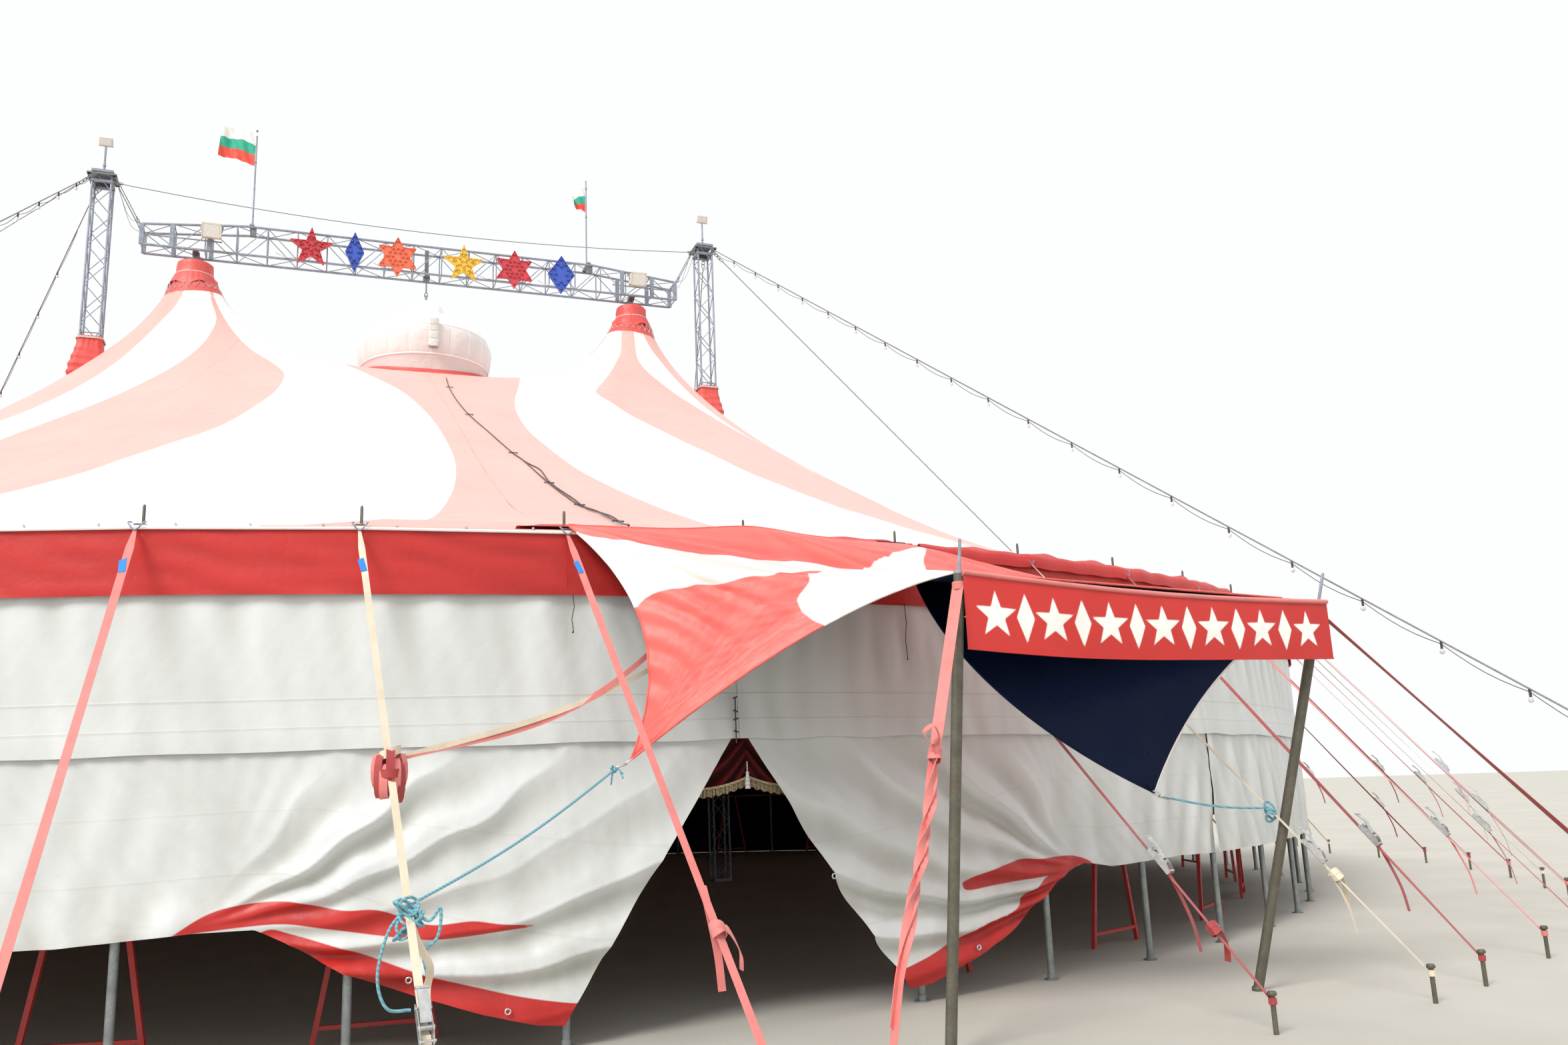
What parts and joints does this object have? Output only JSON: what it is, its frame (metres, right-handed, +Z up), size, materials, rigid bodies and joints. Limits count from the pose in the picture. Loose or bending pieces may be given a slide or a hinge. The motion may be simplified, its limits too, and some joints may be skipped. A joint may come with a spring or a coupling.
{
  "type": "circus big top tent",
  "caption": "Round two-mast circus tent with laced peaks, a ridge truss, domed skylight, side walls, webbing guys and a sail canopy over the doorway",
  "frame": {"origin": "on the ground at the middle of the tent", "axes": "+Z up, +X along the ridge to the right as seen from the front, -Y towards the entrance side"},
  "size_m": [36.74, 35.6, 14.18],
  "materials": {
    "red_canvas": "satin coated canvas",
    "white_canvas": "satin coated canvas",
    "wall_canvas": "satin coated canvas, a little dirty",
    "navy_canvas": "satin coated canvas",
    "skylight_sheet": "translucent satin",
    "galvanised": "dull galvanised",
    "dark_tube": "worn dark grey",
    "cable_steel": "dull",
    "red_paint": "worn satin",
    "lamp_housing": "satin",
    "marquee_red": "gloss",
    "marquee_blue": "gloss",
    "marquee_orange": "gloss",
    "marquee_yellow": "gloss",
    "webbing": "woven polyester webbing",
    "flag_cloth": "matt"
  },
  "bodies": {
    "root": {"roof_panel_1": "red_canvas", "roof_panel_2": "white_canvas", "roof_panel_3": "red_canvas", "roof_panel_4": "white_canvas", "roof_panel_5": "red_canvas", "roof_panel_6": "white_canvas", "roof_panel_7": "red_canvas", "roof_panel_8": "white_canvas", "side_wall_1": "wall_canvas", "side_wall_2": "wall_canvas", "side_wall_3": "wall_canvas", "side_wall_4": "wall_canvas", "doorway_curtain_left": "wall_canvas", "doorway_curtain_right": "wall_canvas", "valance_front": "red_canvas", "valance_back": "red_canvas", "perimeter_poles_front": "galvanised", "webbing_guys_front": "webbing", "perimeter_poles_right": "galvanised", "webbing_guys_right": "webbing", "perimeter_poles_back": "galvanised", "webbing_guys_back": "webbing", "perimeter_poles_left": "galvanised", "webbing_guys_left": "webbing", "seat_trestles_right_front": "red_paint", "seat_trestles_right_back": "red_paint", "seat_trestles_left_back": "red_paint", "seat_trestles_left_front": "red_paint", "mast_left": "galvanised", "mast_collar_left": "red_canvas", "peak_cap_left": "red_canvas", "flag_pole_left": "galvanised", "flag_left": "flag_cloth", "truss_light_left": "lamp_housing", "mast_cables_left": "cable_steel", "canopy_pole_left": "dark_tube", "mast_right": "galvanised", "mast_collar_right": "red_canvas", "peak_cap_right": "red_canvas", "flag_pole_right": "galvanised", "flag_right": "flag_cloth", "truss_light_right": "lamp_housing", "mast_cables_right": "cable_steel", "canopy_pole_right": "dark_tube", "skylight_band": "skylight_sheet", "skylight_dome": "white_canvas", "ridge_truss": "galvanised", "marquee_star_1": "marquee_red", "marquee_star_2": "marquee_orange", "marquee_star_3": "marquee_yellow", "marquee_star_4": "marquee_red", "marquee_lozenge_1": "marquee_blue", "marquee_lozenge_2": "marquee_blue", "canopy": "navy_canvas", "entrance_banner": "red_canvas", "doorway_pelmet": "red_canvas"}
  },
  "joints": []
}
